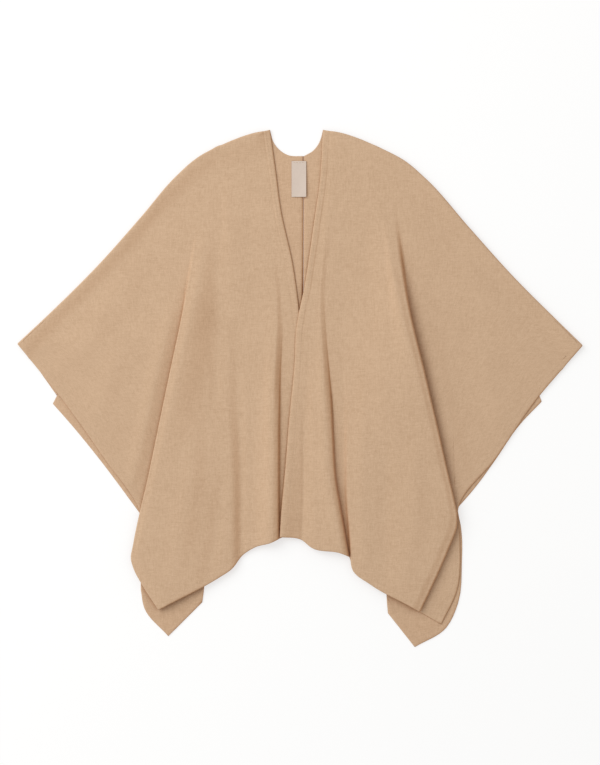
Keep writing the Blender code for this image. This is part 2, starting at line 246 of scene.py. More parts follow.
def foldLine(panel, fold, top, down, framed, section):
    # one fold's places in plan, and how high it lies above the panel's level
    if fold["name"] == "crown":
        shut = smoothstep(panel["pleat"]["opens"], panel["pleat"]["shut"], down)
        return framed[0] - framed[1] * pleatForm["crownIn"], section[1] + pleatForm["crown"] * shut
    if fold["name"] == "under":
        return framed[0] + framed[1] * section[0][..., None], np.zeros_like(down)
    place = foldPlaces(fold, top, down)
    if fold["name"] == "pleat":
        return place, section[1]
    if fold["name"] == "over":
        least, more, above, below = fold["share"]
        return place, section[1] * (least + more * smoothstep(above, below, down))
    if "lift" not in fold:
        return place, np.zeros_like(down)
    at, _ = sharesOf([tuple(top)] + fold["line"])
    return place, curveAt(at, fold["lift"], down, kept=True)


def foldSurface(panel, folds, columns, down):
    # plan places and heights above the level for columns between the folds of a body, arm or back
    index, share = columns["index"], columns["share"]
    tops = foldTops(panel, folds)
    framed = section = None
    if "pleat" in panel:
        framed = pleatFrame(panel, down)
        section = pleatSection(panel["pleat"], *framed[2:], pleatForm["end"])
    lines = [foldLine(panel, fold, top, down, framed, section) for fold, top in zip(folds, tops)]
    places, lifts = (np.array(values) for values in zip(*lines))
    corners = [k for k, fold in enumerate(folds) if fold["corner"]]
    flat = acrossFolds(places, index, share, corners)
    starts = np.array([fold["start"] for fold in folds])
    start = starts[index][:, None] + share * (starts[index + 1] - starts[index])[:, None]
    # the upper ends follow the shoulder's own curve
    topPlaces = np.broadcast_to(np.array(tops)[:, None, None, :], places.shape)
    off = topAt(panel, start) - acrossFolds(topPlaces, index, share, corners)
    flat = flat + off * ((1 - down) ** 2)[..., None]
    lengths = []
    for fold, top in zip(folds, tops):
        # the crown and the arm's first fold are as long as the pleat's own
        lengths.append(foldLength(fold if "line" in fold else panel["body"][-1], top))
    lengths = np.array(lengths)
    length = lengths[index][:, None] + share * (lengths[index + 1] - lengths[index])[:, None]
    return flat, liftAcross(places, lifts, index, share), start, length


def columnsOf(folds, firstEdge=False, lastEdge=False, skipFirst=False):
    # the columns between folds: each one's fold and share, finer along a free edge
    steps = np.array(edge["steps"])
    index, kinds = [], []
    for k, fold in enumerate(folds[:-1]):
        count = fold["columns"]
        if firstEdge and k == 0:
            index += [0] * len(steps)
            kinds += [("first", j) for j in range(len(steps))]
            index += [0] * (count - 1)
            kinds += [("rest", j / count) for j in range(1, count)]
        elif lastEdge and k == len(folds) - 2:
            index += [k] * count
            kinds += [("before", j / count) for j in range(count)]
            index += [k] * len(steps)
            kinds += [("last", j) for j in reversed(range(len(steps)))]
        else:
            index += [k] * count
            kinds += [("plain", j / count) for j in range(count)]
    if not lastEdge:
        index.append(len(folds) - 2)
        kinds.append(("plain", 1.0))
    if skipFirst:
        index, kinds = index[1:], kinds[1:]
    return {"index": np.array(index), "kinds": kinds}


def setShares(panel, folds, columns, down):
    # a column by a free edge keeps its distance from it, as far as there is room
    steps = np.array(edge["steps"])
    tops = foldTops(panel, folds)
    shares = np.zeros(down.shape)
    for c, (kind, value) in enumerate(columns["kinds"]):
        if kind == "plain":
            shares[c] = value
            continue
        near, far = (0, 1) if kind in ("first", "rest") else (-1, -2)
        apart = foldPlaces(folds[near], tops[near], down[c]) - foldPlaces(folds[far], tops[far], down[c])
        room = np.maximum(np.linalg.norm(apart, axis=-1), spacing["leastRoom"])
        if kind in ("first", "last"):
            share = np.minimum(steps[value] / room, spacing["edgeShare"] * value / (len(steps) - 1))
        else:
            widest = np.minimum(steps[-1] / room, spacing["edgeShare"])
            share = widest + (1 - widest) * (value if kind == "rest" else 1 - value)
        shares[c] = share if kind in ("first", "rest") else 1 - share
    columns["share"] = shares


def panelSurface(panel, parts, downs):
    # places, heights, starts and lengths of all the panel's columns, and its unfolded plan
    flats, heights, starts, lengths, unfolded = [], [], [], [], []
    for part, down in zip(parts, downs):
        if part["kind"] == "pleat":
            upper, way, turn, layer = pleatFrame(panel, down)
            step = part["steps"][:, None]
            out, fall, run = pleatSection(panel["pleat"], turn, layer, step)
            drop = pleatSection(panel["pleat"], turn, layer, pleatForm["end"])[1]
            top = topAt(panel, panel["body"][-1]["start"])
            flat = upper + way * out[..., None]
            height = drop - fall
            start = np.full(down.shape, panel["body"][-1]["start"])
            length = np.full(down.shape, foldLength(panel["body"][-1], top))
            plan = upper + way * run[..., None]
        else:
            flat, height, start, length = foldSurface(panel, part["folds"], part["columns"], down)
            plan = flat
            if part["kind"] == "arm":
                upper, way, turn, layer = pleatFrame(panel, down)
                out, _, run = pleatSection(panel["pleat"], turn, layer, pleatForm["end"])
                plan = flat + way * (run - out)[..., None]
        for kept, value in ((flats, flat), (heights, height), (starts, start), (lengths, length),
                            (unfolded, plan)):
            kept.append(value)
    return tuple(np.concatenate(kept) for kept in (flats, heights, starts, lengths, unfolded))


def slantsToHem(flat, counts, side):
    # how squarely each column meets the hem, from 1 down
    downward = flat[:, 1] - flat[:, 0]
    sideways = np.gradient(flat[:, 1], axis=0)
    crossing = np.abs(downward[:, 0] * sideways[:, 1] - downward[:, 1] * sideways[:, 0])
    meets = crossing / np.maximum(np.linalg.norm(downward, axis=1) * np.linalg.norm(sideways, axis=1), 1e-9)
    meets = np.clip(meets, spacing["leastSlant"], 1)
    if side == "front":
        # the pleat's columns take over evenly from the body's last one to the arm's first
        first, last = counts[0] - 1, counts[0] + counts[1]
        meets[first:last + 1] = np.linspace(meets[first], meets[last], last - first + 1)
    over = spacing["smoothedOver"]
    return np.convolve(np.pad(meets, over // 2, mode="edge"), np.ones(over) / over, mode="valid")


def rowsDown(length, meets, rows):
    # the rows as shares of each column's length, with finer ones by the shoulder and the hem
    steps = np.array(edge["steps"])[::-1]
    room = spacing["hemShare"] * np.arange(len(steps) - 1, -1, -1) / (len(steps) - 1)
    hem = np.minimum(steps[None, :] / (length * meets)[:, None], room[None, :])
    first = (cloth["roll"] / length)[:, None]
    even = np.linspace(0, 1, rows + 1)[1:-1] ** spacing["crowding"]
    middle = first + (1 - hem[:, :1] - first) * even[None, :]
    start = np.tile([0, spacing["secondRow"]], (len(length), 1))
    return np.concatenate([start, first, middle, 1 - hem], axis=1)


def rolledRows(side, flat, height, start):
    # the rows round the shoulder's roll, from the seam on
    turned = 1 if side == "front" else -1
    inward = unit(flat[:, 1] - flat[:, 0])
    halfGap = cloth["seamGap"] / 2
    lip = halfGap + cloth["seamLip"]
    rolls = [(0, halfGap), (0, halfGap + cloth["seamStep"]), (0, lip)]
    for turn in cloth["rollTurns"]:
        angle = math.radians(turn)
        rolls.append((cloth["roll"] * (1 - math.cos(angle)), lip + (cloth["roll"] - lip) * math.sin(angle)))
    share = rolledShare(start, side)
    rows = []
    for (reach, rise), outward in zip(rolls, np.linspace(0, cloth["roll"], len(rolls))):
        place = flat[:, 0] + inward * (outward + share * (reach - outward))[:, None]
        z = height[:, 0] + share * (cloth["seamLevel"] + turned * rise - height[:, 0])
        rows.append(np.column_stack([place, z]))
    return np.stack(rows, axis=1)


def panelGrid(panel):
    # the middle of the panel's cloth as a grid of points, with its unfolded plan
    side = panel["side"]
    if side == "front":
        parts = [{"kind": "body", "folds": panel["body"],
                  "columns": columnsOf(panel["body"], firstEdge=True)},
                 {"kind": "pleat", "steps": pleatSteps()},
                 {"kind": "arm", "folds": panel["arm"],
                  "columns": columnsOf(panel["arm"], lastEdge=True, skipFirst=True)}]
    else:
        parts = [{"kind": "back", "folds": panel["folds"],
                  "columns": columnsOf(panel["folds"], lastEdge=True)}]
    counts = [len(p["steps"]) if p["kind"] == "pleat" else len(p["columns"]["index"]) for p in parts]

    def shaped(down):
        downs = np.split(down, np.cumsum(counts)[:-1])
        for part, own in zip(parts, downs):
            if part["kind"] != "pleat":
                setShares(panel, part["folds"], part["columns"], own)
        return panelSurface(panel, parts, downs)

    flat, _, _, length, _ = shaped(np.tile([spacing["firstLook"], 1.0], (sum(counts), 1)))
    meets = slantsToHem(flat, counts, side)
    down = rowsDown(length[:, 0], meets, panel["rows"])
    flat, lift, start, length, plan = shaped(down)
    height = cloth[side + "Level"] + lift
    if side == "front":
        height = height + settle(down, length, start)
    # the roll takes the place of the first three rows
    roll = rolledRows(side, flat, height, start[:, 0])
    points = np.concatenate([roll, np.concatenate([flat, height[..., None]], axis=-1)[:, 3:]], axis=1)
    plan = np.concatenate([np.repeat(plan[:, :1], roll.shape[1], axis=1), plan[:, 3:]], axis=1)
    return points, plan, np.repeat(np.arange(len(parts)), counts), meets


def unit(vectors):
    return vectors / np.maximum(np.linalg.norm(vectors, axis=-1), 1e-9)[..., None]


def runs(points, axis):
    # how far along the cloth each point lies from the first one of its row or column
    steps = np.linalg.norm(np.diff(points, axis=axis), axis=-1)
    zero = np.zeros_like(np.take(steps, [0], axis=axis))
    return np.concatenate([zero, np.cumsum(steps, axis=axis)], axis=axis)


def creased(points, kinds, creases, level):
    # soft ridges and troughs from a given list, which never press the cloth below its level
    lowest = np.minimum(points[..., 2], level)
    fine = np.linspace(0, 1, spacing["creaseSteps"])
    for made in creases:
        path = np.array(made["path"], float)
        at, _ = sharesOf(path[:, :2])
        line = along(path[:, :2], fine)
        tall, wide = (curveAt(at, path[:, k], fine, kept=True) for k in (2, 3))
        columns = np.where(kinds == made["part"])[0]
        away = np.linalg.norm(points[columns][:, :, None, :2] - line, axis=-1)
        nearest = np.argmin(away, axis=-1)
        points[columns, :, 2] += tall[nearest] * np.exp(-((np.min(away, axis=-1) / wide[nearest]) ** 2))
    points[..., 2] = np.maximum(points[..., 2], lowest)
    return points


def roundedRim(distance, rounding):
    # the wall's share of its thickness near its rounded rim
    ease = np.clip(distance / rounding, 0, 1)
    return np.maximum(np.sqrt(1 - (1 - ease) ** 2), edge["thinnest"])


def turnedEdge(distance):
    # how far the turned edge stands proud, with the groove that its stitches pull in
    band = edge["band"] * (1 - smoothstep(*edge["bandEnds"], distance))
    groove = edge["groove"] * np.exp(-(((distance - edge["grooveAt"]) / edge["grooveWidth"]) ** 2))
    return band - groove


def placed(name, data):
    made = bpy.data.objects.new(name, data)
    bpy.context.scene.collection.objects.link(made)
    return made


def shell(name, points, plan, turned, half, raised, material):
    # the sheet's two faces and its rim, as one closed mesh
    across, rows, _ = points.shape
    normal = unit(np.cross(np.gradient(points, axis=0), np.gradient(points, axis=1))) * turned
    top = points + normal * (half + raised)[..., None]
    bottom = points - normal * half[..., None]
    number = np.arange(across * rows).reshape(across, rows)
    a, b, c, d = number[:-1, :-1], number[1:, :-1], number[1:, 1:], number[:-1, 1:]
    upper = np.stack([a, b, c, d], axis=-1).reshape(-1, 4)
    if turned < 0:
        upper = upper[:, ::-1]
    lower = upper[:, ::-1] + across * rows
    border = np.concatenate([number[:, 0], number[-1, 1:], number[-2::-1, -1], number[0, -2:0:-1]])
    ahead = np.roll(border, -1)
    rim = np.stack([ahead, border, border + across * rows, ahead + across * rows], axis=-1)
    if turned < 0:
        rim = rim[:, ::-1]
    faces = np.concatenate([upper, lower, rim])
    mesh = bpy.data.meshes.new(name)
    mesh.from_pydata((np.concatenate([top.reshape(-1, 3), bottom.reshape(-1, 3)]) * mm).tolist(), [],
                     faces.tolist())
    grain = mesh.uv_layers.new(name="grain")
    corners = np.zeros(len(mesh.loops), np.int32)
    mesh.loops.foreach_get("vertex_index", corners)
    flatCloth = np.concatenate([plan.reshape(-1, 2), plan.reshape(-1, 2)]) * mm
    grain.data.foreach_set("uv", flatCloth[corners].astype(np.float32).ravel())
    mesh.materials.append(material)
    mesh.shade_smooth()
    return placed(name, mesh), top, normal


def link(tree, fromSocket, toSocket):
    tree.links.new(fromSocket, toSocket)


def node(tree, kind, **settings):
    made = tree.nodes.new(kind)
    for key, value in settings.items():
        setattr(made, key, value)
    return made


def newMaterial(name):
    made = bpy.data.materials.new(name)
    made.use_nodes = True
    return made, made.node_tree, made.node_tree.nodes["Principled BSDF"]


def setInputs(shaderNode, values):
    for socket, value in values.items():
        shaderNode.inputs[socket].default_value = value


def noiseOf(tree, vector, stretch, detail, seed):
    # noise in [0, 1], with its grains per metre along each axis
    mapping = node(tree, "ShaderNodeMapping")
    setInputs(mapping, {"Scale": stretch, "Location": (seed, seed * 0.7, seed * 0.3)})
    noise = node(tree, "ShaderNodeTexNoise")
    setInputs(noise, {"Scale": 1.0, "Detail": detail})
    link(tree, vector, mapping.inputs["Vector"])
    link(tree, mapping.outputs["Vector"], noise.inputs["Vector"])
    return noise.outputs["Fac"]


def maths(tree, operation, first, second):
    made = node(tree, "ShaderNodeMath", operation=operation)
    for socket, value in zip(made.inputs, (first, second)):
        if isinstance(value, (int, float)):
            socket.default_value = value
        else:
            link(tree, value, socket)
    return made.outputs[0]


def mixed(tree, share, first, second, way="MIX"):
    made = node(tree, "ShaderNodeMix", data_type="RGBA", blend_type=way, clamp_factor=True)
    for socket, value in zip((made.inputs[0], made.inputs[6], made.inputs[7]), (share, first, second)):
        if isinstance(value, tuple):
            socket.default_value = (*value, 1)
        else:
            link(tree, value, socket)
    return made.outputs[2]


def spread(tree, value, ends, kept=(0.0, 1.0), **settings):
    made = node(tree, "ShaderNodeMapRange", **settings)
    setInputs(made, {"From Min": ends[0], "From Max": ends[1], "To Min": kept[0], "To Max": kept[1]})
    link(tree, value, made.inputs["Value"])
    return made.outputs["Result"]


def bumped(tree, shader, height, strength, depth):
    bump = node(tree, "ShaderNodeBump")
    setInputs(bump, {"Strength": strength, "Distance": depth})
    link(tree, height, bump.inputs["Height"])
    link(tree, bump.outputs["Normal"], shader.inputs["Normal"])


def tinted(colour, share):
    return tuple(c * s for c, s in zip(colour, share))


# A noise has its grains per metre along each axis, its detail and its seed.
woolLook = {
    "colour": (0.620, 0.430, 0.282),
    "backColour": (0.620, 0.422, 0.274),
    "shade": (0.80, 0.76, 0.72),      # what the darker fibres keep of the colour
    "shadeShare": 0.35,
    "paintedHollowShade": (0.72, 0.475, 0.295),     # painted shade: what the colour keeps in the folds' hollows
    "paintedShadeReach": 0.030,
    "paintedShadeSamples": 12,
    "paintedShadeEnds": (0.18, 0.92),
    "paintedFlankShade": (0.80, 0.60, 0.44),      # painted shade: what the folds' flanks keep of the colour where they turn from the key light
    # the way to the key light, from which the painted flank shade is measured
    "paintedShadeLightWay": (-0.65, 0.40, 0.65),
    "paintedFlankShadeEnds": (0.63, -0.10),
    "clouds": ((14, 14, 14), 3, 0.0),
    "mottle": ((260, 260, 260), 3, 3.1),
    "warp": ((620, 90, 1), 1, 5.3),
    "weft": ((90, 620, 1), 1, 8.7),
    "fibre": ((700, 700, 700), 3, 2.2),
    "amounts": {"clouds": 0.40, "mottle": 0.56, "slubs": 1.84, "fibre": 1.28},
    "weave": {"Scale": 300, "Distortion": 2.5, "Detail": 1.5},
    "relief": {"weave": 0.35, "slubs": 0.9, "fibre": 0.6},
    "bump": 0.35,
    "bumpDepth": 0.0006,
    "surface": {"Roughness": 0.95, "Specular IOR Level": 0.15, "Sheen Weight": 0.35,
                "Sheen Roughness": 0.45, "Sheen Tint": (0.90, 0.78, 0.66, 1)},
}


def woolMaterial(name, colour):
    made, tree, shader = newMaterial(name)
    coords = node(tree, "ShaderNodeTexCoord")
    space, grain = coords.outputs["Object"], coords.outputs["UV"]
    noises = {key: noiseOf(tree, space, *woolLook[key]) for key in ("clouds", "mottle", "fibre")}
    warp, weft = (noiseOf(tree, grain, *woolLook[key]) for key in ("warp", "weft"))
    noises["slubs"] = maths(tree, "MULTIPLY", maths(tree, "ADD", warp, weft), 0.5)
    tone = 0.0
    for key, amount in woolLook["amounts"].items():
        centred = maths(tree, "SUBTRACT", noises[key], 0.5)
        tone = maths(tree, "ADD", maths(tree, "MULTIPLY", centred, amount), tone)
    share = maths(tree, "ADD", tone, woolLook["shadeShare"])
    fibres = mixed(tree, share, colour, tinted(colour, woolLook["shade"]))
    # painted shade: where folds and hollows occlude the wool, its colour is darkened, standing in for the
    # shade that falls there
    occlusionForShade = node(tree, "ShaderNodeAmbientOcclusion", samples=woolLook["paintedShadeSamples"])
    occlusionForShade.inputs["Distance"].default_value = woolLook["paintedShadeReach"]
    depth = spread(tree, occlusionForShade.outputs["AO"], woolLook["paintedShadeEnds"], (1.0, 0.0),
                   interpolation_type="SMOOTHSTEP")
    withPaintedHollowShade = mixed(tree, depth, fibres, woolLook["paintedHollowShade"], "MULTIPLY")
    # painted shade: slopes turned away from the key light get a darker, warmer colour, standing in for their
    # shading
    facingKeyLight = node(tree, "ShaderNodeVectorMath", operation="DOT_PRODUCT")
    facingKeyLight.inputs[1].default_value = woolLook["paintedShadeLightWay"]
    link(tree, node(tree, "ShaderNodeNewGeometry").outputs["Normal"], facingKeyLight.inputs[0])
    paintedFlankShadeShare = spread(tree, facingKeyLight.outputs["Value"], woolLook["paintedFlankShadeEnds"])
    link(tree, mixed(tree, paintedFlankShadeShare, withPaintedHollowShade, woolLook["paintedFlankShade"], "MULTIPLY"), shader.inputs["Base Color"])
    weave = node(tree, "ShaderNodeTexWave", wave_type="BANDS", bands_direction="DIAGONAL")
    setInputs(weave, woolLook["weave"])
    link(tree, grain, weave.inputs["Vector"])
    reliefs = {"weave": weave.outputs["Fac"], **noises}
    weaveHeight, slubHeight, fibreHeight = (maths(tree, "MULTIPLY", reliefs[key], amount)
                                            for key, amount in woolLook["relief"].items())
    height = maths(tree, "ADD", weaveHeight, maths(tree, "ADD", slubHeight, fibreHeight))
    bumped(tree, shader, height, woolLook["bump"], woolLook["bumpDepth"])
    setInputs(shader, woolLook["surface"])
    return made


wool = woolMaterial("camelWool", woolLook["colour"])
woolBack = woolMaterial("camelWoolBack", woolLook["backColour"])
print("finishes made")


def fold(name, start, columns, line=None, lift=None, corner=False, share=None):
    # a line in plan from its start on the shoulder down to the hem, and its height along the way;
    # an over fold has a share of the pleat's height instead
    made = {"name": name, "start": start, "columns": columns, "corner": corner, "share": share}
    if line:
        made["line"] = line
    if lift:
        made["lift"] = lift
    return made


# The parts of a panel that a crease can lie on; a back has only the first.
onBody = 0
onArm = 2


def crease(part, *path):
    # each place on its path has x, y, its height and its half-width
    return {"part": part, "path": path}


# Lines in plan, from the neck to the wrist and from the middle of the back to the shoulder.
shoulderRight = [(-55, 473), (-95, 463), (-139, 446), (-183, 424), (-227, 386), (-287, 316), (-365, 228),
                 (-453, 140), (-516, 81)]
shoulderLeft = [(42, 473), (80, 465), (146, 439), (190, 416), (230, 382), (308, 294), (387, 206),
                (475, 118), (516, 78)]
neckRight = [(7, 425), (-22, 427), (-37, 436), (-47, 448), (-55, 473)]
neckLeft = [(7, 425), (24, 435), (33, 446), (38, 457), (42, 473)]
# How far the left front lies above the right one where it lies on it.
lapped = cloth["thickness"] + cloth["seamGap"]

# A pleat opens and is shut at these shares of the way down. It has its bends' radius and how much of
# it is lost by the hem, its layer's depth at the hem and its heading there, in degrees. Pressed is
# how far a panel's thinner edge stays down on the cloth below it.
frontRight = {
    "side": "front",
    "turned": 1,
    "shoulder": shoulderRight,
    "rows": 150,
    "body": [
        fold("frontEdge", 0.0, 10, [(-45, 402), (-35, 327), (-13, 226), (-1, 138), (15, -58), (27, -268)]),
        fold("valley", 0.030, 5, [(-51, 318), (-31, 162), (-35, 15), (-36.5, -60), (-37, -150),
             (-37.5, -274)], [0, 0, 0, 1.2, 2.5, 4, 5.5]),
        fold("nose", 0.036, 6, [(-54, 318), (-34, 162), (-39, 15), (-40.5, -60), (-41, -150),
             (-41.5, -276)], [0, 0, 0, 4.5, 8.5, 10.5, 11.5]),
        fold("ridge", 0.052, 9, [(-64, 318), (-44, 162), (-50, -20), (-51, -150), (-52, -281)],
             [0, 0, 1.5, 10, 13, 14]),
        fold("rise", 0.080, 8, [(-85, 318), (-78, 162), (-79, -20), (-80, -150), (-82, -290)],
             [0, 0, 1, 4, 4, 4]),
        fold("low", 0.115, 6, [(-112, 217), (-112, -21), (-105, -150), (-104, -304)],
             [0, 1.5, 2.2, 1, 0.3]),
        fold("step", 0.134, 9, [(-130, 217), (-133, -21), (-126, -150), (-125, -330)],
             [0, 2.4, 4.4, 5.8, 6]),
        fold("over", 0.150, 22, [(-148, 253), (-151, 107), (-156, -58), (-149, -346)],
             share=(0.42, 0.48, 0.50, 0.85)),
        fold("crown", 0.168, 6),
        fold("pleat", 0.183, 0, [(-187, 281), (-204, 180), (-219, 103), (-230, 52), (-251.5, -50),
             (-273, -153), (-302, -285), (-306, -310), (-301, -328),
             (-285, -358), (-256, -403)]),
    ],
    "pleat": {"opens": 0.15, "shut": 0.47, "bend": 2.4, "eased": 0.25, "depth": 98.0, "across": 208},
    "pressed": 0.5,
    "arm": [
        fold("under", 0.217, 16),
        fold("hemCorner", 0.250, 12, [(-217, 253), (-236, 107), (-252, -76), (-257, -204), (-245, -383)],
             corner=True),
        fold("sideLow", 0.300, 12, [(-229, 253), (-247, 107), (-265, -76), (-272, -204), (-282, -296)]),
        fold("sideAtPleat", 0.36, 22, [(-291, -230)]),
        fold("sideMiddle", 0.55, 24, [(-357, -129)]),
        fold("sideHigh", 0.77, 20, [(-437, -17)]),
        fold("wrist", 1.0, 0, [(-494, 54)]),
    ],
    "creases": [
        # the arm's cloth swells beside the fold and slopes down under it
        crease(onArm, (-226, 190, 0, 10), (-243, 110, 1.5, 13), (-264, 20, 2.4, 14), (-284, -70, 2.4, 14),
             (-303, -150, 1.6, 13), (-318, -200, 0.3, 10)),
        # soft troughs and ridges down the body
        crease(onBody, (-150, 330, 0, 18), (-150, 250, -1.2, 22), (-150, 150, -1.4, 24),
             (-152, 60, -1.0, 22), (-150, -40, 0, 18)),
        crease(onBody, (-160, 75, 0, 4), (-153, 40, -0.45, 4.5), (-150, 0, -0.45, 4.5), (-156, -40, 0, 5)),
        crease(onBody, (-175, 60, 0, 4), (-167, 25, 0.4, 4.5), (-168, -25, 0.35, 5), (-172, -60, 0, 5)),
        crease(onBody, (-100, 60, 0, 7), (-98, -40, 0.9, 8), (-97, -150, 1.2, 8), (-98, -300, 1.2, 9)),
        crease(onBody, (-66, 120, 0, 6), (-66, 20, -0.8, 6), (-66, -120, -0.7, 6), (-67, -290, -0.5, 7)),
        crease(onBody, (-190, -60, 0, 14), (-196, -150, 1.6, 18), (-214, -260, 1.8, 20),
             (-230, -330, 0.8, 18)),
        crease(onBody, (-140, -120, 0, 10), (-146, -200, -1.2, 12), (-160, -300, -1.4, 14),
             (-172, -350, -1, 14)),
        # across the arm, towards the wrist
        crease(onArm, (-250, 300, 0, 20), (-320, 190, 1.5, 26), (-390, 90, 1.6, 28), (-450, 20, 0.8, 22)),
        crease(onArm, (-300, 120, 0, 16), (-335, 50, 1.1, 20), (-365, -30, 1.2, 22), (-385, -70, 0.4, 18)),
    ],
}

frontLeft = {
    "side": "front",
    "turned": -1,
    "shoulder": shoulderLeft,
    "rows": 150,
    "body": [
        fold("frontEdge", 0.0, 6, [(37, 387), (25, 299), (9, 191), (-7, 107), (-10, 47), (-20, -58),
             (-27, -147), (-34.5, -231), (-37, -271)],
             [0, 0, 1, lapped, lapped, 3.3, 5.0, 7.4, 9.6, 10]),
        fold("crease", 0.030, 8, [(44, 345), (22, 162), (8, -39), (6, -150), (2, -276)],
             [0, 0, lapped, 3.6, 4.6, 5.2]),
        fold("face", 0.042, 10, [(33, 150), (24, -39), (22, -150), (22, -291)], [0, 3, 6, 6.5, 8]),
        fold("ridge", 0.060, 6, [(37, 142), (39, 89), (42, 28), (45, -47), (47, -90), (53, -165),
             (61, -211), (69, -257), (76, -301)],
             [0, 3.5, 5, 8, 10.5, 12, 13.5, 14.5, 15, 15]),
        fold("nose", 0.072, 5, [(42, 142), (45.5, 89), (51, 28), (56, -47), (58, -90), (63, -165),
             (70.5, -211), (78.5, -257), (87, -306)],
             [0, 2.5, 3, 4.5, 7.5, 9.5, 11, 11.5, 11.5, 11.5]),
        fold("valley", 0.082, 6, [(46.5, 142), (49.5, 89), (54.5, 28), (59.5, -47), (61.5, -90),
             (66.5, -165), (74, -211), (82, -257), (90, -308)],
             [0, 1.5, 1.5, 1.5, 1.5, 1.5, 1, 1, 1, 1]),
        fold("foot", 0.096, 5, [(62, 142), (74, 28), (78, -47), (79, -90), (79.5, -165), (81.5, -211),
             (86, -257), (91.5, -311)],
             [0, 1.5, 1.5, 1.5, 1.5, 1.5, 1.5, 1.5, 1.5]),
        fold("step", 0.105, 12, [(75, 142), (87, 28), (90, -47), (88.5, -90), (88, -165), (88.5, -211),
             (92, -257), (96, -331)], [0, 1.5, 2.5, 4.5, 6.5, 7.5, 8, 8, 7]),
        fold("over", 0.150, 22, [(152, 253), (161, 107), (160, -58), (129, -358)],
             share=(0.60, 0.35, 0.30, 0.65)),
        fold("crown", 0.172, 6),
        fold("pleat", 0.188, 0, [(166, 336), (179, 239), (197, 136), (222, 34), (246.5, -69), (267, -158),
             (278, -205), (283, -230), (282, -252), (271, -282), (251, -330),
             (216, -406)]),
    ],
    "pleat": {"opens": 0.11, "shut": 0.44, "bend": 4.6, "eased": 0.50, "depth": 88.0, "across": -30},
    "pressed": 1.0,
    "arm": [
        fold("under", 0.221, 16),
        fold("hemCorner", 0.250, 8, [(216, 253), (243, 89), (262, -76), (268, -204), (258, -431)],
             corner=True),
        fold("sideLow", 0.300, 10, [(236, 253), (256, 89), (272, -76), (279, -204), (287, -369)]),
        fold("sideBulge", 0.350, 10, [(255, 253), (268, 89), (279, -76), (284, -204), (292, -286)]),
        fold("sideAtPleat", 0.42, 20, [(289, -221)]),
        fold("sideMiddle", 0.58, 24, [(357, -129)]),
        fold("sideHigh", 0.78, 20, [(438, -13)]),
        fold("wrist", 1.0, 0, [(478, 34)]),
    ],
    "creases": [
        crease(onArm, (206, 210, 0, 10), (224, 136, 1.2, 16), (250, 34, 2.0, 18), (274, -69, 2.0, 18),
             (296, -145, 1.4, 16), (310, -190, 0.3, 12)),
        crease(onBody, (120, 330, 0, 14), (124, 240, -1.2, 16), (130, 150, -1.2, 16), (134, 60, 0, 14)),
        crease(onBody, (6.5, 10, 0, 3.5), (6.5, -110, -0.8, 3.5), (6, -200, -1.2, 3.5),
             (4, -276, -1.2, 3.5)),
        crease(onBody, (24, 60, 0, 6), (24, -60, 0.8, 7), (26, -200, 1.0, 8), (28, -290, 1.0, 8)),
        crease(onBody, (118, 60, 0, 9), (114, -60, 1.2, 11), (112, -180, 1.4, 12), (116, -320, 1.0, 12)),
        crease(onBody, (160, -40, 0, 12), (158, -150, -1.4, 15), (156, -260, -1.6, 16),
             (158, -350, -1.2, 16)),
        crease(onBody, (205, -60, 0, 14), (208, -160, 1.6, 18), (206, -260, 1.8, 20), (196, -330, 1.0, 18)),
        crease(onArm, (255, 290, 0, 20), (325, 190, 1.5, 26), (395, 90, 1.6, 28), (455, 20, 0.8, 22)),
        crease(onArm, (305, 110, 0, 16), (338, 45, 1.1, 20), (364, -35, 1.2, 22), (382, -72, 0.4, 18)),
    ],
}

backRight = {
    "side": "back",
    "turned": 1,
    "shoulder": shoulderRight,
    "neck": neckRight,
    "rows": 70,
    "pressed": 0.5,
    "creases": [
        crease(onBody, (-58, 40, 0, 10), (-60, -60, 0.9, 12), (-62, -160, 1.5, 12), (-62, -250, 1.1, 12)),
    ],
    "folds": [
        fold("centreSeam", -1.0, 10, [(6, 80), (5, -252)]),
        fold("neckCurve", -0.55, 10, [(-60, -262)]),
        fold("neckPoint", 0.0, 10, [(-120, -286)], corner=True),
        fold("innerHem", 0.10, 4, [(-172, -332)], corner=True),
        fold("innerFold", 0.16, 8, [(-179, -391)], corner=True),
        fold("corner", 0.21, 8, [(-241, -453)], corner=True),
        fold("outerHem", 0.25, 4, [(-285, -401)]),
        fold("outerFold", 0.29, 8, [(-291, -369)], corner=True),
        fold("sideAtPleat", 0.36, 12, [(-291, -231)], corner=True),
        fold("sideMiddle", 0.54, 8, [(-367, -129)]),
        fold("sideHigh", 0.63, 6, [(-402, 0), (-427, -56)]),
        fold("sideCorner", 0.72, 6, [(-417, 15), (-452, -28)], corner=True),
        fold("sideInside", 0.79, 8, [(-433, 15), (-444, -14)], corner=True),
        fold("wrist", 1.0, 0, [(-494, 57)]),
    ],
}

